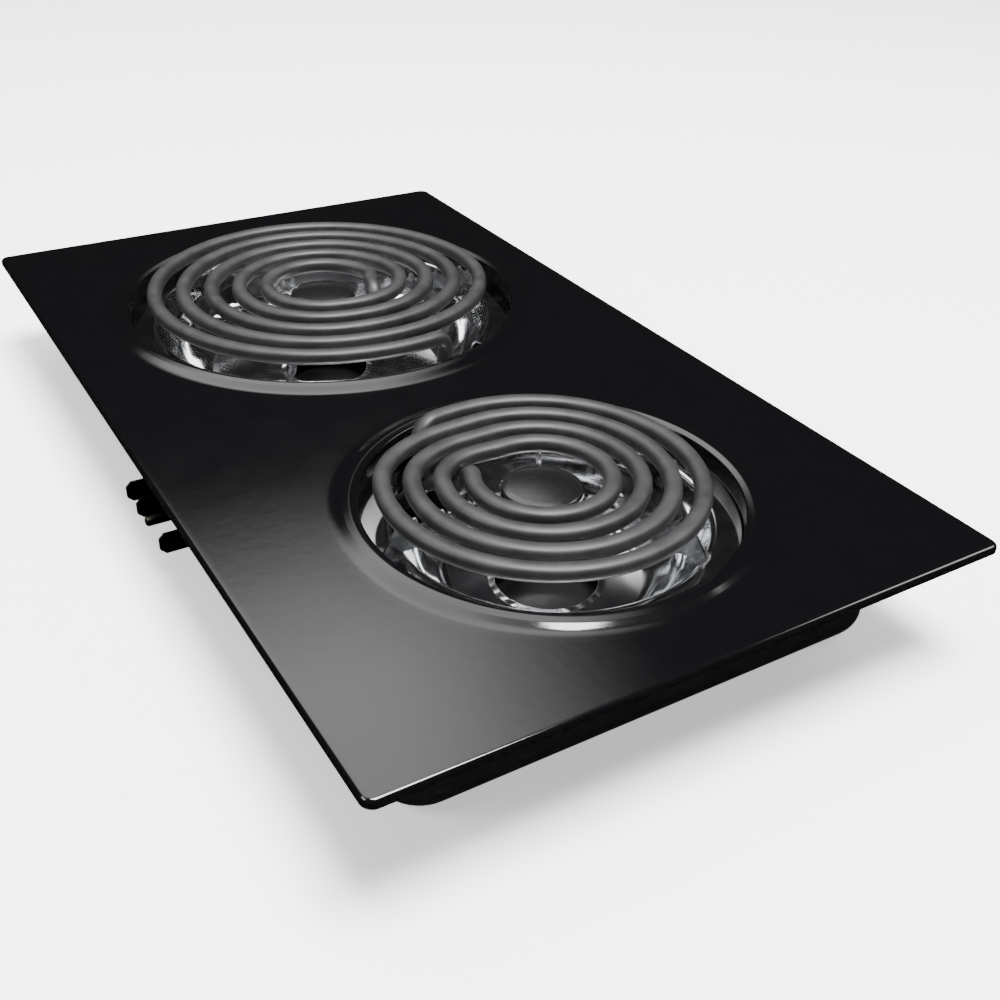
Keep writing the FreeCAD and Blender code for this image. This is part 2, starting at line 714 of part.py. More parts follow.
# ---------------------------------------------------------------- receptacles
def make_receptacle(burner):
    """Floating terminal block with two spring contacts, its bracket and pivot pins."""
    at = along(burner)
    frame = coil_frame(burner)
    half = dim("block_half")
    tall = dim("block_tall")
    play = dim("play")
    leaf = dim("leaf")
    slot_half = dim("blade_thick") / 2 + play + leaf + play
    tail_half = leaf / 2 + play
    contact_tall = dim("blade_tall") / 2 - 0.5

    block = new_body(burner + "_receptacle_block", frame)
    plan = new_sketch(block, "XY_Plane", terminal_z)
    rectangle(plan, at["block"], -half, at["rear"], half)
    feature(block, "Pad", plan, tall, middle=True)
    fillet(block, 1.5, is_upright)
    mouths = new_sketch(block, "YZ_Plane", at["block"])
    tails = new_sketch(block, "YZ_Plane", at["block"])
    for side in (-half_gap, half_gap):
        rectangle(mouths, side - slot_half, terminal_z - 3.6, side + slot_half, terminal_z + 3.6)
        rectangle(tails, side - tail_half, terminal_z - contact_tall - play,
                  side + tail_half, terminal_z + contact_tall + play)
    feature(block, "Pocket", mouths, 18, reverse=True)
    feature(block, "Pocket", tails, dim("block_length") + 1, reverse=True)
    for sign in (-1, 1):
        bore = new_sketch(block, "XZ_Plane", half * sign)
        circle(bore, at["pivot"], terminal_z, dim("pin") + play)
        feature(block, "Pocket", bore, 4.5, reverse=(sign < 0))

    for name, side in (("outer", -half_gap), ("inner", half_gap)):
        contact = new_body(burner + "_%s_contact" % name, frame)
        clip = new_sketch(contact, "XY_Plane", terminal_z)
        near = dim("blade_thick") / 2 + play
        far = near + leaf
        front = at["block"] + 2
        back = at["block"] + 17.9
        outline(clip, [(front, side + near), (back - leaf, side + near),
                       (back - leaf, side - near), (front, side - near), (front, side - far),
                       (back, side - far), (back, side - leaf / 2),
                       (at["rear"] + 9, side - leaf / 2), (at["rear"] + 9, side + leaf / 2),
                       (back, side + leaf / 2), (back, side + far), (front, side + far)])
        feature(contact, "Pad", clip, contact_tall * 2, middle=True)
        thread = new_sketch(contact, "XZ_Plane", -side)
        circle(thread, at["rear"] + 5, terminal_z, 1.25)
        feature(contact, "Pocket", thread, 3, middle=True)

    screws = []
    lugs = []
    for side in (-11, 11):
        screws.append(screw(at["rear"] + 5, side + 2.8, terminal_z, 2.6, 1.6, 1.25, 3.8,
                            Vector(0, -1, 0)))
        tongue = box(at["rear"] + 1.6, side + 0.4, terminal_z - 8, 6.8, 0.8, 11)
        barrel = rod(at["rear"] + 5, side + 0.8, terminal_z - 13, 2.3, 6)
        lug = joined([tongue, barrel])
        lugs.append(cut(lug, rod(at["rear"] + 5, side - 3, terminal_z, 1.27, 6,
                                 Vector(0, 1, 0))))
    group(burner + "_contact_screws", screws, frame)
    group(burner + "_lead_lugs", lugs, frame)

    bracket = new_body(burner + "_receptacle_bracket", frame)
    base_z = floor_top - top
    ear = dim("ear")
    low = new_sketch(bracket, "XY_Plane", base_z)
    rectangle(low, at["pivot"] - 12, -half - 0.4 - ear, at["pivot"] + 12, half + 0.4 + ear)
    feature(bracket, "Pad", low, ear)
    sides = new_sketch(bracket, "XY_Plane", base_z)
    for sign in (-1, 1):
        near = (half + 0.4) * sign
        far = (half + 0.4 + ear) * sign
        rectangle(sides, at["pivot"] - 7, near if sign > 0 else far,
                  at["pivot"] + 7, far if sign > 0 else near)
    feature(bracket, "Pad", sides, terminal_z + 6 - base_z)
    pins = new_sketch(bracket, "XZ_Plane")
    circle(pins, at["pivot"], terminal_z, dim("pin"))
    feature(bracket, "Pocket", pins, 60, middle=True)
    rivets = new_sketch(bracket, "XY_Plane", base_z - 1)
    for side in RIVET_SIDES:
        circle(rivets, at["pivot"], side, 2)
    feature(bracket, "Pocket", rivets, 4, reverse=True)

    group(burner + "_pivot_pins",
          [joined([rod(at["pivot"], side * 16, terminal_z, dim("pin"), 7, Vector(0, side, 0)),
                   rod(at["pivot"], side * (half + 0.4 + ear), terminal_z, 3.2, 1.4,
                       Vector(0, side, 0))]) for side in (-1, 1)], frame)
    group(burner + "_bracket_rivets",
          [joined([rod(at["pivot"], side, -top, 2, floor_top + ear),
                   rod(at["pivot"], side, base_z + ear, 3.6, 1.6)]) for side in RIVET_SIDES],
          frame)


def screw(x, y, z, head, head_length, shank, length, way=Vector(0, 1, 0)):
    """Cheese-head screw: the head's outer face at x, y, z, the shank along a direction."""
    step = way * head_length
    return joined([rod(x, y, z, head, head_length, way),
                   rod(as_size(x) + step.x, as_size(y) + step.y, as_size(z) + step.z,
                       shank, length, way)])


# ---------------------------------------------------------------- plug
PLUG_BLADES = (("plug_blade_large", 2.5), ("plug_blade_common", -13.5),
               ("plug_blade_small", -46.5))
GROUND_PIN_Y = -26


def make_plug():
    """Insulating block through the box's wall with three blades and a ground pin."""
    level = top - dim("plug_depth")
    tall = dim("plug_blade_tall") / 2
    thick = dim("plug_blade_thick") / 2
    inner_wall = dim("box_wall") - box_x
    nose = box(-dim("plug_front"), -52.8, level - 7.8, dim("plug_front") - dim("plug_rear"),
               59.6, 15.6)
    back = box(inner_wall, -63, level - 11, box_x - dim("box_wall") - dim("plug_rear"), 80, 22)
    slots = [rod(-dim("plug_front") - 1, GROUND_PIN_Y, level, dim("ground_shank"), 40,
                 Vector(1, 0, 0))]
    for name, y in PLUG_BLADES:
        slots.append(box(-dim("plug_front") - 1, y - thick, level - tall, 40,
                         dim("plug_blade_thick"), tall * 2))
    for y in PLUG_SCREWS:
        slots.append(rod(-box_x - 1, y, level, 1.6, 17, Vector(1, 0, 0)))
    cut(joined([nose, back]), joined(slots), "plug_block")

    for name, y in PLUG_BLADES:
        blade = new_body(name, (0, 0, top, 0))
        side = new_sketch(blade, "XZ_Plane", -as_size(y))
        tip = -dim("plug_tip")
        end = -dim("tail_end")
        depth = -dim("plug_depth")
        outline(side, [(tip, depth - tall + 2.5), (tip + 2.5, depth - tall),
                       (-dim("plug_rear") - 2, depth - tall), (-dim("plug_rear") - 2, depth - 3),
                       (end, depth - 3), (end, depth + 3), (-dim("plug_rear") - 2, depth + 3),
                       (-dim("plug_rear") - 2, depth + tall), (tip + 2.5, depth + tall),
                       (tip, depth + tall - 2.5)])
        feature(blade, "Pad", side, dim("plug_blade_thick"), middle=True)
    pin = new_body("ground_pin", (0, GROUND_PIN_Y, top, 0))
    profile = new_sketch(pin, "YZ_Plane", -dim("plug_tip"))
    circle(profile, 0, -dim("plug_depth"), dim("ground_pin"))
    feature(pin, "Pad", profile, dim("plug_tip") - dim("plug_front"))
    shank = new_sketch(pin, "YZ_Plane", -dim("plug_front"))
    circle(shank, 0, -dim("plug_depth"), dim("ground_shank"))
    feature(pin, "Pad", shank, dim("plug_front") - dim("tail_end"))
    level_pin = -dim("plug_depth").value

    def tip_rim(edge):
        box_now = edge.BoundBox
        return (abs(box_now.XMin + dim("plug_tip").value) < 0.01 and box_now.XLength < 0.01
                and box_now.ZMin < level_pin)

    fillet(pin, 1.5, tip_rim)
    group("plug_screws", [screw(-box_x - 2.2, y, level, 3.2, 2.2, 1.6, 15, Vector(1, 0, 0))
                          for y in PLUG_SCREWS])


# ---------------------------------------------------------------- leads
def lead_start(burner, side):
    """Foot of the lug's barrel on one contact of a receptacle."""
    return world_point(burner, along(burner)["rear"].value + 5, side + 0.8,
                       dim("terminal_depth").value + 13)


# Each lead drops from its lug, runs along the floor through these points (x, y) and rises to
# its plug lug at x, y, on the +Y or the -Y face of the blade's tail. The points keep the leads
# clear of each other and of the brackets.
LUG_X = -94.5
LEADS = {
    "large_lead_to_blade": ("large", 11, [(58, 6), (20, 8), (-40, 8), (-70, 10)],
                            (LUG_X, 2.5, 1)),
    "large_lead_to_common": ("large", -11, [(38, -31), (12, -6), (-2, 0), (-46, 0), (-78, -4)],
                             (-95.6, -13.5, 1)),
    "small_lead_to_common": ("small", -11, [], (-91, -13.5, -1)),
    "small_lead_to_blade": ("small", 11, [], (LUG_X, -46.5, 1)),
}
LUG_DROP = 13
WIDEST_BEND = 50


def smooth_radii(points):
    """Arc radii for a path's inner corners, from the room that the runs beside each leave."""
    runs = [before.distanceToPoint(after) for before, after in zip(points, points[1:])]
    room = [0.9 * runs[0]] + [0.45 * run for run in runs[1:-1]] + [0.9 * runs[-1]]
    radii = []
    for corner in range(1, len(points) - 1):
        turn = (points[corner] - points[corner - 1]).getAngle(points[corner + 1] - points[corner])
        radii.append(min(min(room[corner - 1:corner + 1]) / math.tan(turn / 2), WIDEST_BEND))
    return radii


def make_leads():
    """Insulated leads from the receptacles to the plug, along the box's floor."""
    depth = top.value - dim("lead_depth").value
    rise = top.value - dim("plug_depth").value - LUG_DROP
    for name, (burner, side, middle, (lug_x, lug_y, face)) in LEADS.items():
        start = lead_start(burner, side)
        end_y = lug_y + 1.6 * face
        points = [start, Vector(start.x, start.y, depth)]
        points += [Vector(x, y, depth) for x, y in middle]
        points += [Vector(lug_x, end_y, depth), Vector(lug_x, end_y, rise)]
        bent_tube(name, rounded_path(points, smooth_radii(points)), dim("lead"))
    ground = [Vector(LUG_X, GROUND_PIN_Y, rise), Vector(LUG_X, GROUND_PIN_Y, depth),
              Vector(-102, -48, depth), Vector(-94, -84, depth),
              Vector(-94, -84, floor_top.value + 1.2)]
    bent_tube("ground_lead", rounded_path(ground, smooth_radii(ground)), dim("lead"))


def make_plug_lugs():
    """Lugs on the plug's tails, barrels down."""
    level = top - dim("plug_depth")
    lugs = []
    for burner, side, middle, (x, y, face) in LEADS.values():
        tongue = box(x - 3, y + 1.2 * face - 0.4, level - 8, 6, 0.8, 11)
        barrel = rod(x, y + 1.6 * face, level - LUG_DROP, 2.3, 6)
        lugs.append(joined([tongue, barrel]))
    eye = rod(LUG_X - 2, GROUND_PIN_Y, level, 4, 4, Vector(1, 0, 0))
    barrel = rod(LUG_X, GROUND_PIN_Y, level - LUG_DROP, 2.3, LUG_DROP - 3)
    lugs.append(cut(joined([eye, barrel]), rod(LUG_X - 3, GROUND_PIN_Y, level,
                                               dim("ground_shank"), 6, Vector(1, 0, 0))))
    group("plug_lugs", lugs)


def make_ground_and_clamp():
    """Ground lug and screw on the box's floor, and the clamp that holds two leads."""
    (ground_x, ground_y), (clamp_x, clamp_y) = FLOOR_SCREWS
    plate = box(ground_x - 5, ground_y - 5, floor_top, 10, 18, 1.2)
    cut(plate, rod(ground_x, ground_y, 0, 2.05, 6), "ground_lug")
    group("ground_screw", [screw(ground_x, ground_y, floor_top + 3.4, 3.6, 2.2, 2, 2.2,
                                 Vector(0, 0, -1))])
    depth = top - dim("lead_depth")
    body = box(clamp_x - 6, -6, floor_top, 12, 29, depth - floor_top + 3.2)
    holes = [rod(clamp_x - 7, y, depth, dim("lead"), 14, Vector(1, 0, 0)) for y in (0, 8)]
    holes.append(rod(clamp_x, clamp_y, 0, 2.05, 20))
    cut(body, joined(holes), "lead_clamp")
    group("lead_clamp_screw", [screw(clamp_x, clamp_y, depth + 5.4, 3.6, 2.2, 2,
                                     depth + 3.2, Vector(0, 0, -1))])


# ---------------------------------------------------------------- build, check and write
make_top_plate()
make_burner_box()
make_studs()
for burner in BURNERS:
    make_drip_bowl(burner)
    make_heating_coil(burner)
    make_coil_support(burner)
    make_medallion(burner)
    make_terminals(burner)
    make_receptacle(burner)
make_plug()
make_leads()
make_plug_lugs()
make_ground_and_clamp()
doc.recompute()

ROOT_NODES = ["top_plate", "burner_box", "weld_studs", "stud_nuts", "plug_block", "ground_pin",
              "plug_screws", "plug_lugs", "ground_lead", "ground_lug", "ground_screw",
              "lead_clamp", "lead_clamp_screw"]
BURNER_NODES = ["drip_bowl", "heating_coil", "coil_support", "medallion", "outer_seal",
                "inner_seal", "outer_terminal", "inner_terminal", "terminal_bracket",
                "receptacle_block", "outer_contact", "inner_contact", "contact_screws",
                "lead_lugs", "receptacle_bracket", "pivot_pins", "bracket_rivets"]
nodes = ROOT_NODES + [name for name, y in PLUG_BLADES] + list(LEADS)
nodes += [burner + "_" + name for burner in BURNERS for name in BURNER_NODES]

for item in doc.Objects:
    if "Invalid" in item.State or "Error" in item.State:
        raise RuntimeError("%s (%s) failed: %s" % (item.Name, item.Label, item.State))
os.makedirs("parts", exist_ok=True)
for node in nodes:
    found = doc.getObjectsByLabel(node)
    if len(found) != 1:
        raise RuntimeError("%d objects are called %s" % (len(found), node))
    shape = found[0].Shape
    if shape.isNull() or not shape.isValid() or shape.Volume <= 0:
        raise RuntimeError("%s has no valid solid" % node)
    shape.exportStep("parts/%s.step" % node)
    print("%-28s %2d solids %10.1f mm3" % (node, len(shape.Solids), shape.Volume))
print(len(nodes), "nodes")
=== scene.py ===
import math

import bmesh
import bpy
import numpy as np
from mathutils import Matrix, Vector


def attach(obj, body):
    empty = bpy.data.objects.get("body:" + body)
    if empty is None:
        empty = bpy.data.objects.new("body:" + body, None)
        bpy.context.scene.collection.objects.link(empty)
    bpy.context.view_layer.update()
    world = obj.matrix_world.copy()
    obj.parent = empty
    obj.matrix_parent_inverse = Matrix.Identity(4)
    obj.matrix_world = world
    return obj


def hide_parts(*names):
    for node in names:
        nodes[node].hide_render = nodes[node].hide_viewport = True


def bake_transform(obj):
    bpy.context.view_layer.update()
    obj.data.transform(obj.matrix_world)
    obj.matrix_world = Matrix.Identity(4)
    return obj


# Twin coil cooktop cartridge: black enamelled plate, two chromed drip bowls, two plug-in coils.
# Shapes are worked out in millimetres and written to the meshes in metres.

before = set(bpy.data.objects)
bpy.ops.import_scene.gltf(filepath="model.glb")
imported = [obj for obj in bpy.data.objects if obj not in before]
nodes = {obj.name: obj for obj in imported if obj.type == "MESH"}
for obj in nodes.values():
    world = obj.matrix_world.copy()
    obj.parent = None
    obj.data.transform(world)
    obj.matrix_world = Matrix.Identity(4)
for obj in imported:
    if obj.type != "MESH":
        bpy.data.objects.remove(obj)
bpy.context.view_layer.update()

MM = 0.001
TOP = 58.0
PLATE_HALF = (146.0, 254.0)
PLATE_CORNER = 5.0
SKIRT = 4.0
SHEET = 1.2
LEDGE_DEPTH = 8.8
LEDGE_WIDTH = 5.0

# Each burner: centre of its opening and of its coil, direction of its terminals in degrees, the
# drop wall's radius, the bowl, and the coil's rings. Angles are counted from the terminal line.
BURNERS = {
    "large": {"opening": (2.2, 108.2), "coil": (2.2, 108.2), "turn": -65, "wall": 108,
              "flange": 94, "notch": 101.5, "ring": 31.3, "pitch": 15.5, "rings": 5,
              "tube_end": 107, "step": (-39.5, 74.5), "tail": (51.6, 27.7, 9.5), "leave": -13,
              "dive": (28.5, 62, 84), "bends": (20, 20, 8, 6.5)},
    "small": {"opening": (1.3, -132.8), "coil": (-1.2, -129.0), "turn": 120, "wall": 83.5,
              "flange": 70, "notch": 79, "ring": 30.3, "pitch": 12.9, "rings": 4,
              "tube_end": 82.5, "step": (-27.7, 35.3), "tail": (33.5, 30.3, 7), "leave": -19,
              "dive": (34.6, 50, 68), "bends": (14, 14, 6.5, 6.5)},
}
COIL_HEIGHT = 7.5
TUBE = 4.0
TERMINAL_DEPTH = -24.0
HALF_GAP = 11.0


# ---------------------------------------------------------------- shapes
def rounded(points, radii, steps=8, closed=False):
    """A line of straight runs with its corners rounded. An arc's centre lies on the corner's
    bisector, radius / sin(half the angle) from the corner, and the arc turns evenly between the
    two points of tangency."""
    points = np.asarray(points, float)
    before, after = np.roll(points, 1, 0), np.roll(points, -1, 0)
    if not closed:
        radii = [0, *radii, 0]
    parts = []
    for last, corner, following, radius in zip(before, points, after, radii):
        if radius == 0:
            parts.append(corner[None])
            continue
        inward = (last - corner) / np.linalg.norm(last - corner)
        outward = (following - corner) / np.linalg.norm(following - corner)
        half = math.acos(np.clip(inward @ outward, -1, 1)) / 2
        middle = (inward + outward) / np.linalg.norm(inward + outward)
        centre = corner + middle * radius / math.sin(half)
        start = corner + inward * radius / math.tan(half) - centre
        end = corner + outward * radius / math.tan(half) - centre
        turn = math.pi - 2 * half
        share = np.linspace(0, 1, steps + 1)[:, None]
        swing = np.sin((1 - share) * turn) * start + np.sin(share * turn) * end
        parts.append(centre + swing / math.sin(turn))
    return np.concatenate(parts)


def spun(profile, centre, steps=192):
    """Surface of revolution: each profile point (radius, height) goes round the upright axis
    through centre, at x = radius cos(angle), y = radius sin(angle)."""
    angle = np.linspace(0, 2 * math.pi, steps, endpoint=False)
    radius, height = profile[:, :1], profile[:, 1:]
    flat = np.zeros(steps)
    return np.stack([centre[0] + radius * np.cos(angle), centre[1] + radius * np.sin(angle),
                     height + flat], -1)


def rounded_rectangle(inset, half, corner, steps=12):
    """Outline at an inset from a rounded rectangle: four quarter arcs of radius corner - inset,
    joined by the straight sides."""
    inset = np.asarray(inset, float)[:, None, None]
    quarter = np.linspace(0, math.pi / 2, steps + 1)
    angle = np.arange(4)[:, None] * math.pi / 2 + quarter
    sign_x = np.array([1, -1, -1, 1])[:, None]
    sign_y = np.array([1, 1, -1, -1])[:, None]
    radius = np.maximum(corner - inset, 0.4)
    x = sign_x * (half[0] - inset - radius) + radius * np.cos(angle)
    y = sign_y * (half[1] - inset - radius) + radius * np.sin(angle)
    rows = inset.shape[0]
    return x.reshape(rows, -1), y.reshape(rows, -1)


def rimmed(profile, half, corner):
    """Profile of (inset, height) points carried round a rounded rectangle."""
    x, y = rounded_rectangle(profile[:, 0], half, corner)
    return np.stack([x, y, np.broadcast_to(profile[:, 1:], x.shape)], -1)


def evenly(path, spacing):
    """The same line with its points set at an even spacing along it."""
    along = np.concatenate([[0], np.cumsum(np.linalg.norm(np.diff(path, axis=0), axis=1))])
    keep = np.concatenate([[True], np.diff(along) > 1e-6])
    stops = np.linspace(0, along[-1], int(along[-1] / spacing) + 2)
    return np.stack([np.interp(stops, along[keep], path[keep, i]) for i in range(3)], -1)


def tube(path, radius, sides=24, flatness=1.0):
    """Section carried along a path. Its side vector is level and square to the heading, which is
    carried over the upright stretches. The section is a circle whose upper half has its height
    raised to a power below 1, which flattens its crown."""
    way = np.gradient(path, axis=0)
    way /= np.linalg.norm(way, axis=1, keepdims=True)
    known = np.hypot(way[:, 0], way[:, 1]) > 0.08
    heading = np.unwrap(np.arctan2(way[known, 1], way[known, 0]))
    heading = np.interp(np.arange(len(path)), np.flatnonzero(known), heading)
    side = np.stack([np.sin(heading), -np.cos(heading), np.zeros(len(path))], -1)
    up = np.cross(side, way)
    up /= np.linalg.norm(up, axis=1, keepdims=True)
    angle = np.linspace(0, 2 * math.pi, sides, endpoint=False)
    lift = np.sin(angle)
    lift = np.where(lift > 0, np.abs(lift) ** flatness, lift)
    return (path[:, None] + radius * np.cos(angle)[None, :, None] * side[:, None]
            + radius * lift[None, :, None] * up[:, None])


def in_burner(points, burner, centre="coil"):
    """Points given in a burner's own axes (+X towards its terminals, heights from the plate's
    top), turned and moved into the part's frame."""
    turn = math.radians(burner["turn"])
    x, y = burner[centre]
    east = points[..., 0] * math.cos(turn) - points[..., 1] * math.sin(turn) + x
    north = points[..., 0] * math.sin(turn) + points[..., 1] * math.cos(turn) + y
    return np.stack([east, north, points[..., 2] + TOP], -1)


def grid_faces(rows, columns, close_rows, close_columns):
    """Four-sided faces between neighbouring rows and columns of a grid of points."""
    row = np.arange(rows if close_rows else rows - 1)[:, None]
    column = np.arange(columns if close_columns else columns - 1)[None]
    next_row, next_column = (row + 1) % rows, (column + 1) % columns
    corners = [row * columns + column, row * columns + next_column,
               next_row * columns + next_column, next_row * columns + column]
    return np.stack(np.broadcast_arrays(*corners), -1).reshape(-1, 4)


def make_mesh(name, grids, levels=()):
    """Grids of points joined into one closed mesh: doubles merged, flat areas at the given
    heights filled up to their holes, open ends capped, and normals turned outwards."""
    points, faces, count = [], [], 0
    for grid, close_rows, close_columns in grids:
        rows, columns = grid.shape[:2]
        points.append(grid.reshape(-1, 3))
        faces.append(grid_faces(rows, columns, close_rows, close_columns) + count)
        count += rows * columns
    mesh = bpy.data.meshes.new(name)
    mesh.from_pydata((np.concatenate(points) * MM).tolist(), [], np.concatenate(faces).tolist())
    shape = bmesh.new()
    shape.from_mesh(mesh)
    bmesh.ops.remove_doubles(shape, verts=shape.verts, dist=2e-6)
    for level in levels:
        rim = [edge for edge in shape.edges if edge.is_boundary
               and all(abs(end.co.z - level * MM) < 1e-6 for end in edge.verts)]
        bmesh.ops.triangle_fill(shape, edges=rim, use_beauty=True)
    bmesh.ops.holes_fill(shape, edges=[edge for edge in shape.edges if edge.is_boundary], sides=0)
    bmesh.ops.recalc_face_normals(shape, faces=shape.faces)
    shape.to_mesh(mesh)
    shape.free()
    return mesh


def carved(mesh, low, high, turn=0.0, centre=(0, 0)):
    """The mesh with a box taken out of it; low and high are the box's corners in axes turned
    about centre."""
    corners = np.array([[x, y, z] for x in (0, 1) for y in (0, 1) for z in (0, 1)], float)
    corners = np.asarray(low) + corners * (np.asarray(high) - np.asarray(low))
    sides = [(0, 1, 3, 2), (4, 6, 7, 5), (0, 4, 5, 1), (2, 3, 7, 6), (0, 2, 6, 4), (1, 5, 7, 3)]
    block = bpy.data.meshes.new("block")
    block.from_pydata((corners * MM).tolist(), [], sides)
    block.transform(Matrix.Translation((centre[0] * MM, centre[1] * MM, 0))
                    @ Matrix.Rotation(math.radians(turn), 4, "Z"))
    pair = [bpy.data.objects.new("carved", mesh), bpy.data.objects.new("block", block)]
    for item in pair:
        bpy.context.scene.collection.objects.link(item)
    step = pair[0].modifiers.new("slot", "BOOLEAN")
    step.object = pair[1]
    step.operation = "DIFFERENCE"
    step.solver = "EXACT"
    result = bpy.data.meshes.new_from_object(
        pair[0].evaluated_get(bpy.context.evaluated_depsgraph_get()))
    for item in pair:
        bpy.data.objects.remove(item)
    return result


def add_piece(name, mesh, material, body, replaced, sharp=32):
    """An object with its finish, smooth up to a crease angle, on its body."""
    mesh.shade_smooth()
    mesh.set_sharp_from_angle(angle=math.radians(sharp))
    mesh.materials.clear()
    mesh.materials.append(material)
    piece = bpy.data.objects.new(name, mesh)
    bpy.context.scene.collection.objects.link(piece)
    if body:
        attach(piece, body)
    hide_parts(replaced)
    return piece


# ---------------------------------------------------------------- finishes
def colour(code):
    """Linear colour of an sRGB hex code."""
    share = np.array([int(code[i:i + 2], 16) for i in (1, 3, 5)]) / 255
    linear = np.where(share <= 0.04045, share / 12.92, ((share + 0.055) / 1.055) ** 2.4)
    return (*linear, 1.0)


def per(size):
    """Scale of a pattern whose features are this many millimetres across."""
    return 1 / (size * MM)


def add(tree, kind, links=None, **settings):
    """Add a node with its settings; links maps an input to a value or to another output."""
    node = tree.nodes.new("ShaderNode" + kind)
    for name, value in settings.items():
        setattr(node, name, value)
    for socket, value in (links or {}).items():
        if isinstance(value, bpy.types.NodeSocket):
            tree.links.new(value, node.inputs[socket])
        else:
            node.inputs[socket].default_value = value
    return node


def new_finish(name, **values):
    """A material with a Principled shader; its uniform values sit on the shader's sockets."""
    material = bpy.data.materials.new(name)
    material.use_nodes = True
    tree = material.node_tree
    shader = tree.nodes["Principled BSDF"]
    for socket, value in values.items():
        shader.inputs[socket.replace("_", " ")].default_value = value
    place = add(tree, "TexCoord").outputs["Object"]
    return material, tree, shader, place


def porcelain_enamel():
    """Black porcelain enamel: fired glass on steel. Deep black, glossy, with a faint orange
    peel about 5 mm across and rarer, broader waves from the pressing."""
    material, tree, shader, place = new_finish(
        "black_porcelain_enamel", Base_Color=colour("#060607"), IOR=1.52)
    peel = add(tree, "TexNoise", {"Vector": place, "Scale": per(5), "Detail": 2.0})
    wave = add(tree, "TexNoise", {"Vector": place, "Scale": per(60), "Detail": 1.0})
    haze = add(tree, "TexNoise", {"Vector": place, "Scale": per(18), "Detail": 4.0})
    gloss = add(tree, "MapRange", {"Value": haze.outputs["Fac"], "From Min": 0.3,
                                   "From Max": 0.7, "To Min": 0.09, "To Max": 0.12})
    low = add(tree, "Bump", {"Height": wave.outputs["Fac"], "Strength": 0.08,
                             "Distance": 0.0012})
    fine = add(tree, "Bump", {"Height": peel.outputs["Fac"], "Strength": 0.05,
                              "Distance": 0.0004, "Normal": low.outputs["Normal"]})
    tree.links.new(gloss.outputs["Result"], shader.inputs["Roughness"])
    tree.links.new(fine.outputs["Normal"], shader.inputs["Normal"])
    return material


def stoved_paint():
    """Black heat-proof stoved paint on drawn steel: satin, with a fine grain of about 0.8 mm
    that breaks up the highlight."""
    material, tree, shader, place = new_finish(
        "black_stoved_paint", Base_Color=colour("#101011"), IOR=1.5)
    grain = add(tree, "TexNoise", {"Vector": place, "Scale": per(0.8), "Detail": 3.0})
    cloud = add(tree, "TexNoise", {"Vector": place, "Scale": per(30), "Detail": 3.0})
    gloss = add(tree, "MapRange", {"Value": cloud.outputs["Fac"], "From Min": 0.3,
                                   "From Max": 0.7, "To Min": 0.36, "To Max": 0.48})
    bump = add(tree, "Bump", {"Height": grain.outputs["Fac"], "Strength": 0.2,
                              "Distance": 0.0001})
    tree.links.new(gloss.outputs["Result"], shader.inputs["Roughness"])
    tree.links.new(bump.outputs["Normal"], shader.inputs["Normal"])
    return material


def chrome_plate(centre, name):
    """Bright chromium plate on spun steel: near mirror, with faint rings from spinning every
    2.5 mm about the bowl's axis."""
    material, tree, shader, place = new_finish(
        name, Base_Color=colour("#DCDDDF"), Metallic=1.0)
    middle = add(tree, "Mapping", {"Vector": place,
                                   "Location": (-centre[0] * MM, -centre[1] * MM, 0)})
    rings = add(tree, "TexWave", {"Vector": middle.outputs["Vector"], "Scale": per(2.5) / 20,
                                  "Distortion": 0.6, "Detail": 2.0},
                wave_type="RINGS", rings_direction="Z")
    smear = add(tree, "TexNoise", {"Vector": place, "Scale": per(14), "Detail": 5.0})
    gloss = add(tree, "MapRange", {"Value": smear.outputs["Fac"], "From Min": 0.3,
                                   "From Max": 0.75, "To Min": 0.05, "To Max": 0.14})
    bump = add(tree, "Bump", {"Height": rings.outputs["Fac"], "Strength": 0.05,
                              "Distance": 0.0002})
    tree.links.new(gloss.outputs["Result"], shader.inputs["Roughness"])
    tree.links.new(bump.outputs["Normal"], shader.inputs["Normal"])
    return material


def oxidised_sheath():
    """Nickel alloy sheath, oxidised in the furnace: dark grey with a soft metal sheen, clouded
    over about 12 mm, with a 0.5 mm scale grain."""
    material, tree, shader, place = new_finish(
        "oxidised_nickel_alloy", Metallic=0.55, IOR=1.5)
    cloud = add(tree, "TexNoise", {"Vector": place, "Scale": per(12), "Detail": 5.0,
                                   "Roughness": 0.6})
    grain = add(tree, "TexNoise", {"Vector": place, "Scale": per(0.5), "Detail": 2.0})
    tint = add(tree, "ValToRGB", {"Fac": cloud.outputs["Fac"]})
    tint.color_ramp.elements[0].position = 0.3
    tint.color_ramp.elements[0].color = colour("#262627")
    tint.color_ramp.elements[1].position = 0.7
    tint.color_ramp.elements[1].color = colour("#333334")
    gloss = add(tree, "MapRange", {"Value": cloud.outputs["Fac"], "From Min": 0.3,
                                   "From Max": 0.7, "To Min": 0.46, "To Max": 0.56})
    bump = add(tree, "Bump", {"Height": grain.outputs["Fac"], "Strength": 0.25,
                              "Distance": 0.00012})
    tree.links.new(tint.outputs["Color"], shader.inputs["Base Color"])
    tree.links.new(gloss.outputs["Result"], shader.inputs["Roughness"])
    tree.links.new(bump.outputs["Normal"], shader.inputs["Normal"])
    return material


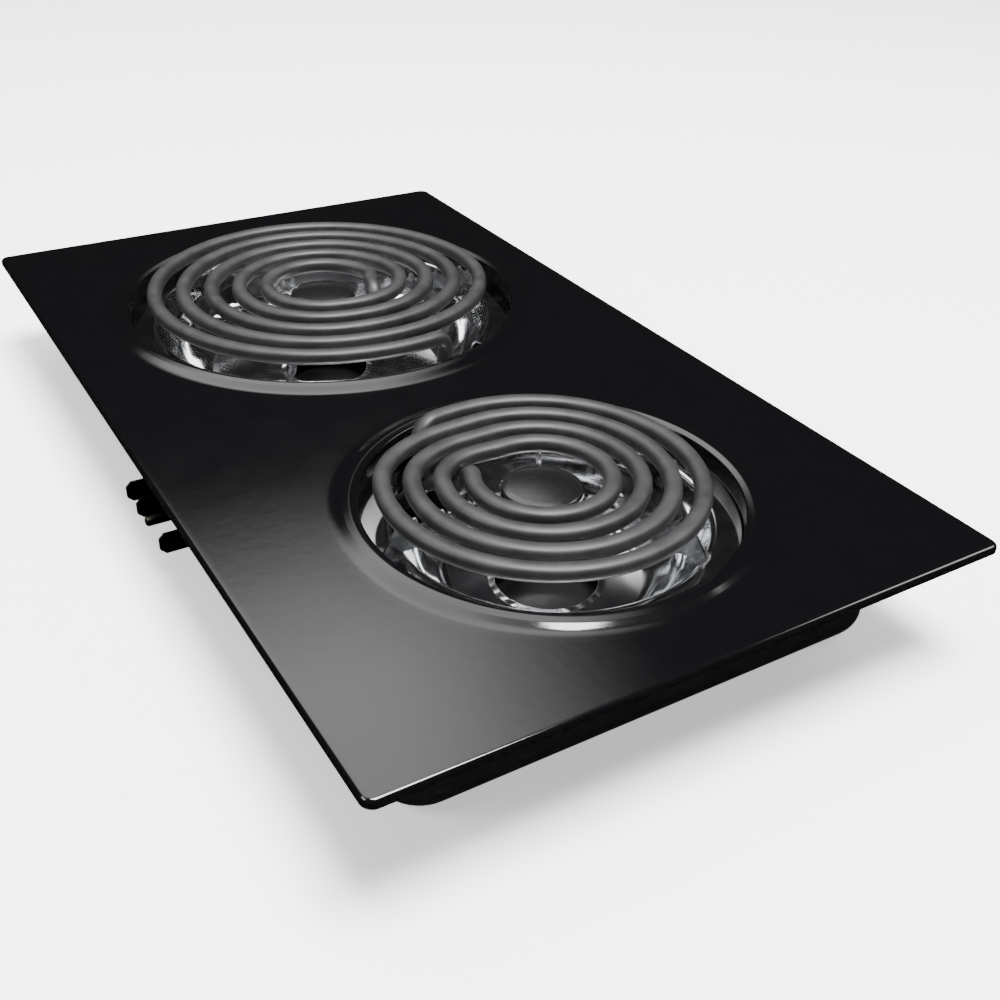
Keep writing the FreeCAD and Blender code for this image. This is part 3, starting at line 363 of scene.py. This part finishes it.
def metal(name, code, rough, size, spread=0.08, strength=0.15):
    """Plain metal with rolling or plating marks: its roughness varies over patches of the given
    size in millimetres, and a fifth of that size gives the relief."""
    material, tree, shader, place = new_finish(name, Base_Color=colour(code), Metallic=1.0)
    patch = add(tree, "TexNoise", {"Vector": place, "Scale": per(size), "Detail": 4.0})
    mark = add(tree, "TexNoise", {"Vector": place, "Scale": per(size / 5), "Detail": 2.0})
    gloss = add(tree, "MapRange", {"Value": patch.outputs["Fac"], "From Min": 0.3,
                                   "From Max": 0.7, "To Min": rough - spread,
                                   "To Max": rough + spread})
    bump = add(tree, "Bump", {"Height": mark.outputs["Fac"], "Strength": strength,
                              "Distance": 0.0001})
    tree.links.new(gloss.outputs["Result"], shader.inputs["Roughness"])
    tree.links.new(bump.outputs["Normal"], shader.inputs["Normal"])
    return material


def mineral(name, dark, light, rough, size, subsurface=0.0):
    """Ceramic, enamel, plastic or rubber: two close shades mixed over grains of the given size in
    millimetres, which also give the relief."""
    material, tree, shader, place = new_finish(name, Roughness=rough, IOR=1.5)
    grain = add(tree, "TexNoise", {"Vector": place, "Scale": per(size), "Detail": 4.0})
    tint = add(tree, "ValToRGB", {"Fac": grain.outputs["Fac"]})
    tint.color_ramp.elements[0].position = 0.35
    tint.color_ramp.elements[0].color = colour(dark)
    tint.color_ramp.elements[1].position = 0.65
    tint.color_ramp.elements[1].color = colour(light)
    bump = add(tree, "Bump", {"Height": grain.outputs["Fac"], "Strength": 0.2,
                              "Distance": 0.00015})
    shader.inputs["Subsurface Weight"].default_value = subsurface
    tree.links.new(tint.outputs["Color"], shader.inputs["Base Color"])
    tree.links.new(bump.outputs["Normal"], shader.inputs["Normal"])
    return material


enamel = porcelain_enamel()
paint = stoved_paint()
sheath = oxidised_sheath()
# pressed cap in black enamel, duller than the plate: a soft grey glow on its near half
cap = mineral("black_enamelled_cap", "#0B0B0C", "#101011", 0.2, 3.0)
# bright rolled strip: hard glints along its cut edges
strip = metal("stainless_strip", "#B9BABC", 0.24, 6)
# galvanised pressings: pale grey with soft spangle
galvanised = metal("galvanised_steel", "#A6A9AC", 0.38, 8)
# zinc-plated screws and pins: clean blue-white metal
zinc = metal("zinc_plated_steel", "#B7BBC0", 0.30, 2)
# tinned terminals and lugs: soft white metal
tinned = metal("tinned_brass", "#B8AC94", 0.34, 3)
# the plug's blades: tarnished, dark grey-brown with worn faces
tarnished = metal("tarnished_brass_blade", "#34312D", 0.42, 4, 0.08, 0.25)
# spring contacts: warm bronze
bronze = metal("phosphor_bronze", "#A9794A", 0.30, 4)
# unglazed steatite: warm white, chalky
steatite = mineral("steatite_ceramic", "#CFC6B4", "#DAD2C2", 0.62, 1.5, 0.1)
# moulded phenolic block: black-brown with a dull moulded skin
phenolic = mineral("black_phenolic", "#1B1917", "#24211E", 0.48, 1.0)
# natural nylon clamp: milky
nylon = mineral("natural_nylon", "#C9C6B9", "#D5D2C6", 0.42, 2.0, 0.2)
# silicone-rubber insulated leads: matt, evenly coloured
lead_finish = {"red": mineral("red_silicone_rubber", "#7E1B17", "#8B221C", 0.58, 0.8),
               "black": mineral("black_silicone_rubber", "#161616", "#1E1E1E", 0.58, 0.8),
               "green": mineral("green_silicone_rubber", "#1E5A2E", "#246636", 0.58, 0.8)}

FINISHES = {
    "top_plate": enamel, "burner_box": paint, "weld_studs": zinc, "stud_nuts": zinc,
    "plug_block": phenolic, "ground_pin": tarnished, "plug_screws": zinc, "plug_lugs": tinned,
    "ground_lead": lead_finish["green"], "ground_lug": tinned, "ground_screw": zinc,
    "lead_clamp": nylon, "lead_clamp_screw": zinc, "plug_blade_large": tarnished,
    "plug_blade_common": tarnished, "plug_blade_small": tarnished,
    "large_lead_to_blade": lead_finish["red"], "large_lead_to_common": lead_finish["black"],
    "small_lead_to_common": lead_finish["black"], "small_lead_to_blade": lead_finish["red"],
}
BURNER_FINISHES = {
    "drip_bowl": galvanised, "heating_coil": sheath, "coil_support": strip, "medallion": cap,
    "outer_seal": steatite, "inner_seal": steatite, "outer_terminal": tinned,
    "inner_terminal": tinned, "terminal_bracket": galvanised, "receptacle_block": steatite,
    "outer_contact": bronze, "inner_contact": bronze, "contact_screws": zinc,
    "lead_lugs": tinned, "receptacle_bracket": galvanised, "pivot_pins": zinc,
    "bracket_rivets": zinc,
}
for burner_name in BURNERS:
    for piece_name, finish in BURNER_FINISHES.items():
        FINISHES["%s_%s" % (burner_name, piece_name)] = finish
for node_name, node in nodes.items():
    node.data.materials.clear()
    node.data.materials.append(FINISHES[node_name])


# ---------------------------------------------------------------- top plate
def plate_skirt():
    """Rolled shoulder, skirt and rounded lower edge, as a profile carried round the plate."""
    inset = 3.6
    outer = rounded([(inset, 0), (0, 0), (0, -SKIRT), (SHEET, -SKIRT), (SHEET, -SHEET),
                     (inset, -SHEET)], (2, 0.55, 0.55, 0.8))
    grid = rimmed(outer, PLATE_HALF, PLATE_CORNER)
    grid[..., 2] += TOP
    return grid


def opening_bead(burner):
    """Raised bead, drop wall and ledge of an opening, spun about its centre. The bead rises from
    the plate in a long soft flare to a round crest."""
    wall, inner = burner["wall"], burner["wall"] - LEDGE_WIDTH
    ledge, under = -LEDGE_DEPTH, -LEDGE_DEPTH - SHEET
    profile = rounded(
        [(wall + 17, 0), (wall + 11, 0), (wall + 6.5, 1.7), (wall + 3.4, 2.4), (wall, 1.4),
         (wall, ledge), (inner, ledge), (inner, under), (wall + SHEET, under),
         (wall + SHEET, 0.4), (wall + 4, 1.1), (wall + 10.4, -SHEET), (wall + 17, -SHEET)],
        (12, 4, 3, 0.9, 0.9, 0.4, 0.4, 0.8, 0.8, 2, 4), steps=7)
    grid = spun(profile, burner["opening"], 256)
    grid[..., 2] += TOP
    return grid


plate_grids = [(plate_skirt(), False, True)]
plate_grids += [(opening_bead(burner), False, True) for burner in BURNERS.values()]
plate = make_mesh("enamel_top", plate_grids, levels=(TOP, TOP - SHEET))
add_piece("enamel_top", plate, enamel, "root", "top_plate")


# ---------------------------------------------------------------- bowls, coils and medallions
def bowl_mesh(name, burner):
    """Spun drip bowl: flat flange, steep side easing into a shallow floor, and a rolled lip round
    the centre hole, with the terminal slot cut through its side."""
    skin = 0.8
    outer, inner, hole = burner["wall"] - 0.6, burner["flange"], 23.5
    upper, depth = 8.0, 44.0
    inside = [(outer, -upper), (inner, -upper), (inner - 4, -upper - 12),
              (inner - 11, -upper - 25), (inner - 24, -depth + 2.2), (hole + 3, -depth),
              (hole, -depth + 0.5)]
    outside = [(hole, -depth + 0.5 - skin), (hole + 3, -depth - skin),
               (inner - 24, -depth + 1.4), (inner - 10.2, -upper - 25.4),
               (inner - 3.2, -upper - 12.2), (inner + 0.4, -upper - skin),
               (outer, -upper - skin)]
    profile = rounded(inside + outside, (0.35, 3.2, 30, 26, 18, 2.2, 0.35, 0.35, 2.6, 18.8, 26.8,
                                         30.8, 3.6, 0.35), steps=9, closed=True)
    grid = spun(profile, burner["opening"])
    grid[..., 2] += TOP
    mesh = make_mesh(name, [(grid, True, True)])
    notch = burner["notch"]
    return carved(mesh, (notch - 26, -19.5, TOP - 32), (notch, 19.5, TOP + 1), burner["turn"],
                  burner["opening"])


def ease(share):
    """Goes from 0 to 1 with level ends: 3 s^2 - 2 s^3."""
    share = np.clip(share, 0, 1)
    return share * share * (3 - 2 * share)


def coil_path(burner):
    """Centre line of the sheathed tube. The rings are circles whose radius eases out by one pitch
    within a step sector in each turn; at both ends straight legs with round bends run down and
    out to the terminals."""
    ring, pitch = burner["ring"], burner["pitch"]
    step_start, step_end = burner["step"]
    tail_angle, tail_radius, tail_length = burner["tail"]
    last = burner["leave"] + 360 * burner["rings"]
    degrees = np.arange(tail_angle, last, 1.0)
    turns = np.floor((degrees - step_start) / 360)
    share = ((degrees - step_start) % 360) / (step_end - step_start)
    radius = ring + pitch * (turns - 1 + ease(share))
    entry = (degrees - tail_angle) / (step_end - tail_angle)
    radius = np.where(degrees < step_end, tail_radius + (ring - tail_radius) * ease(entry),
                      radius)
    angle = np.radians(degrees)
    level = np.full(len(angle), COIL_HEIGHT)
    rings = np.stack([radius * np.cos(angle), radius * np.sin(angle), level], -1)

    tail_way = np.array([-math.sin(angle[0]), math.cos(angle[0]), 0])
    dive_start, dive_run, dive_end = burner["dive"]
    under = COIL_HEIGHT - 11
    inner = rounded([(burner["tube_end"], HALF_GAP, TERMINAL_DEPTH),
                     (dive_end, HALF_GAP, TERMINAL_DEPTH), (dive_run, HALF_GAP, under),
                     (dive_start, HALF_GAP, under), rings[0] - tail_way * tail_length, rings[0]],
                    burner["bends"])
    leave = math.radians(burner["leave"])
    way = np.array([-math.sin(leave), math.cos(leave), 0])
    bend = rings[-1] + way * ((-HALF_GAP - rings[-1][1]) / way[1])
    outer = rounded([rings[-1], bend, (bend[0] - 2.5, -HALF_GAP, TERMINAL_DEPTH),
                     (burner["tube_end"], -HALF_GAP, TERMINAL_DEPTH)], (8.5, 8.5))
    return np.concatenate([inner[:-1], rings, outer[1:]])


def medallion_mesh(name, burner):
    """Shallow domed cap with a turned-down rim, spun about the coil's centre. Its crown follows a
    circle arc 0.8 mm high."""
    share = np.linspace(0, 1, 16)[:, None]
    radius = 0.02 + 15.6 * share
    crown = np.concatenate([radius, 5.1 - 0.8 * share ** 2], 1)
    rim = rounded([crown[-1], (17.6, 3.6), (18.4, 2.4), (18.4, 0), (17.6, 0), (17.6, 2.2),
                   (15.4, 3.1)], (1.6, 1.0, 0.3, 0.3, 0.8))
    inner = np.concatenate([radius[::-1] * 0.985, 3.9 - 0.8 * share[::-1] ** 2], 1)
    grid = spun(np.concatenate([crown, rim[1:], inner[1:]]), burner["coil"], 128)
    grid[..., 2] += TOP
    return make_mesh(name, [(grid, False, True)])


for burner_name, burner in BURNERS.items():
    element = burner_name + "_element"
    chrome = chrome_plate(burner["opening"], "chromium_plate_" + burner_name)
    add_piece(burner_name + "_chrome_bowl", bowl_mesh(burner_name + "_chrome_bowl", burner),
              chrome, "root", burner_name + "_drip_bowl")
    path = in_burner(evenly(coil_path(burner), 1.4), burner)
    grid = tube(path, TUBE, 24, 0.62)
    add_piece(burner_name + "_spiral", make_mesh(burner_name + "_spiral", [(grid, False, True)]),
              sheath, element, burner_name + "_heating_coil", sharp=50)
    add_piece(burner_name + "_cap", medallion_mesh(burner_name + "_cap", burner), cap, element,
              burner_name + "_medallion")


# ---------------------------------------------------------------- leads that follow the blocks
# Route of each lead: burner, side of its contact, points on the box's floor, and its plug lug.
LEAD_ROUTES = {
    "large_lead_to_blade": ("large", 11, [(58, 6), (20, 8), (-40, 8), (-70, 10)],
                            (-94.5, 4.1), "red"),
    "large_lead_to_common": ("large", -11, [(38, -31), (12, -6), (-2, 0), (-46, 0), (-78, -4)],
                             (-95.6, -11.9), "black"),
    "small_lead_to_common": ("small", -11, [], (-91, -15.1), "black"),
    "small_lead_to_blade": ("small", 11, [], (-94.5, -44.9), "red"),
}
LEAD_RADIUS = 1.5
LEAD_LEVEL = 8.0


def lead_route(burner, side, middle, plug_lug):
    """Corners of a lead: down from its lug, along the floor and up to the plug."""
    seal, gap, block, lug = 3, 3, 28, 5
    behind = burner["tube_end"] + seal + gap + block + lug
    start = in_burner(np.array([behind, side + 0.8, TERMINAL_DEPTH - 13.0]), burner)
    corners = [start, (start[0], start[1], LEAD_LEVEL)]
    corners += [(x, y, LEAD_LEVEL) for x, y in middle]
    corners += [(*plug_lug, LEAD_LEVEL), (*plug_lug, 16.0)]
    return np.array(corners, float)


def bend_radii(corners):
    """Largest arcs that the runs leave room for, up to 50 mm."""
    runs = np.linalg.norm(np.diff(corners, axis=0), axis=1)
    room = np.where((np.arange(len(runs)) % (len(runs) - 1)) == 0, 0.9, 0.45) * runs
    ways = np.diff(corners, axis=0) / runs[:, None]
    turn = np.arccos(np.clip((ways[1:] * ways[:-1]).sum(1), -1, 1))
    return np.minimum(np.minimum(room[1:], room[:-1]) / np.tan(turn / 2), 50)


for lead_name, (burner_name, side, middle, plug_lug, shade) in LEAD_ROUTES.items():
    corners = lead_route(BURNERS[burner_name], side, middle, plug_lug)
    path = evenly(rounded(corners, bend_radii(corners)), 1.2)
    mesh = make_mesh(lead_name + "_wire", [(tube(path, LEAD_RADIUS, 16), False, True)])
    wire = add_piece(lead_name + "_wire", mesh, lead_finish[shade], None,
                     lead_name, sharp=60)
    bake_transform(wire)


# ---------------------------------------------------------------- floor, lights and camera
def stage_floor():
    """Plain pale floor; its own reflection is kept out of the gloss, so that the sides of the
    part stay as dark as on a studio table."""
    mesh = bpy.data.meshes.new("floor")
    reach = 9.0
    level = -0.0002
    mesh.from_pydata([(-reach, -reach, level), (reach, -reach, level), (reach, reach, level),
                      (-reach, reach, level)], [], [(0, 1, 2, 3)])
    material, tree, shader, place = new_finish(
        "pale_floor", Base_Color=colour("#F6F6F6"), Roughness=0.9,
        Emission_Color=colour("#FFFFFF"), Emission_Strength=0.7)
    mesh.materials.append(material)
    floor = bpy.data.objects.new("floor", mesh)
    bpy.context.scene.collection.objects.link(floor)
    floor.visible_glossy = False


def softbox(name, direction, distance, size, watts, aim=(0, 0, 0.05), edge=0.0):
    """Area light seen from aim in a direction (azimuth from +X, elevation). With an edge, its
    strength eases to nothing over that share of each side, like light through a diffuser."""
    azimuth, elevation = np.radians(direction)
    way = Vector((math.cos(azimuth) * math.cos(elevation),
                  math.sin(azimuth) * math.cos(elevation), math.sin(elevation)))
    data = bpy.data.lights.new(name, "AREA")
    data.shape = "RECTANGLE"
    data.size, data.size_y = size
    data.energy = watts
    lamp = bpy.data.objects.new(name, data)
    lamp.location = Vector(aim) + way * distance
    lamp.rotation_euler = (-way).to_track_quat("-Z", "Y").to_euler()
    lamp.visible_camera = False
    bpy.context.scene.collection.objects.link(lamp)
    if edge:
        data.use_nodes = True
        tree = data.node_tree
        split = add(tree, "SeparateXYZ", {"Vector": add(tree, "NewGeometry").outputs[
            "Parametric"]})
        strength = None
        for axis in "XY":
            near = add(tree, "Math", {0: split.outputs[axis], 1: 0.5}, operation="SUBTRACT")
            far = add(tree, "Math", {0: near.outputs[0]}, operation="ABSOLUTE")
            fade = add(tree, "MapRange", {"Value": far.outputs[0], "From Min": 0.5 - edge,
                                          "From Max": 0.5, "To Min": 1.0, "To Max": 0.0},
                       interpolation_type="SMOOTHSTEP").outputs["Result"]
            strength = fade if strength is None else add(
                tree, "Math", {0: strength, 1: fade}, operation="MULTIPLY").outputs[0]
        tree.links.new(strength, tree.nodes["Emission"].inputs["Strength"])


world = bpy.data.worlds.new("studio")
bpy.context.scene.world = world
world.use_nodes = True
world.node_tree.nodes["Background"].inputs["Color"].default_value = colour("#FFFFFF")
world.node_tree.nodes["Background"].inputs["Strength"].default_value = 0.015
stage_floor()
softbox("back_softbox", (88, 60), 2.6, (3.2, 2.7), 110, edge=0.3)
softbox("overhead_softbox", (-70, 78), 2.6, (1.3, 1.3), 330)
softbox("left_softbox", (170, 38), 2.4, (1.2, 0.9), 35)
softbox("right_softbox", (-15, 40), 2.6, (1.0, 0.8), 20)

view = bpy.data.cameras.new("camera")
view.sensor_width = 36
view.lens = 43.22
view.clip_start, view.clip_end = 0.02, 40
forward = Vector((0.4494, 0.7126, -0.5387)).normalized()
upward = Vector((0.2573, 0.4743, 0.8420))
right = forward.cross(upward).normalized()
upward = right.cross(forward)
camera = bpy.data.objects.new("camera", view)
camera.matrix_world = Matrix.Translation((-0.2514, -0.4921, 0.3353)) @ Matrix(
    (right, upward, -forward)).transposed().to_4x4()
bpy.context.scene.collection.objects.link(camera)
bpy.context.scene.camera = camera
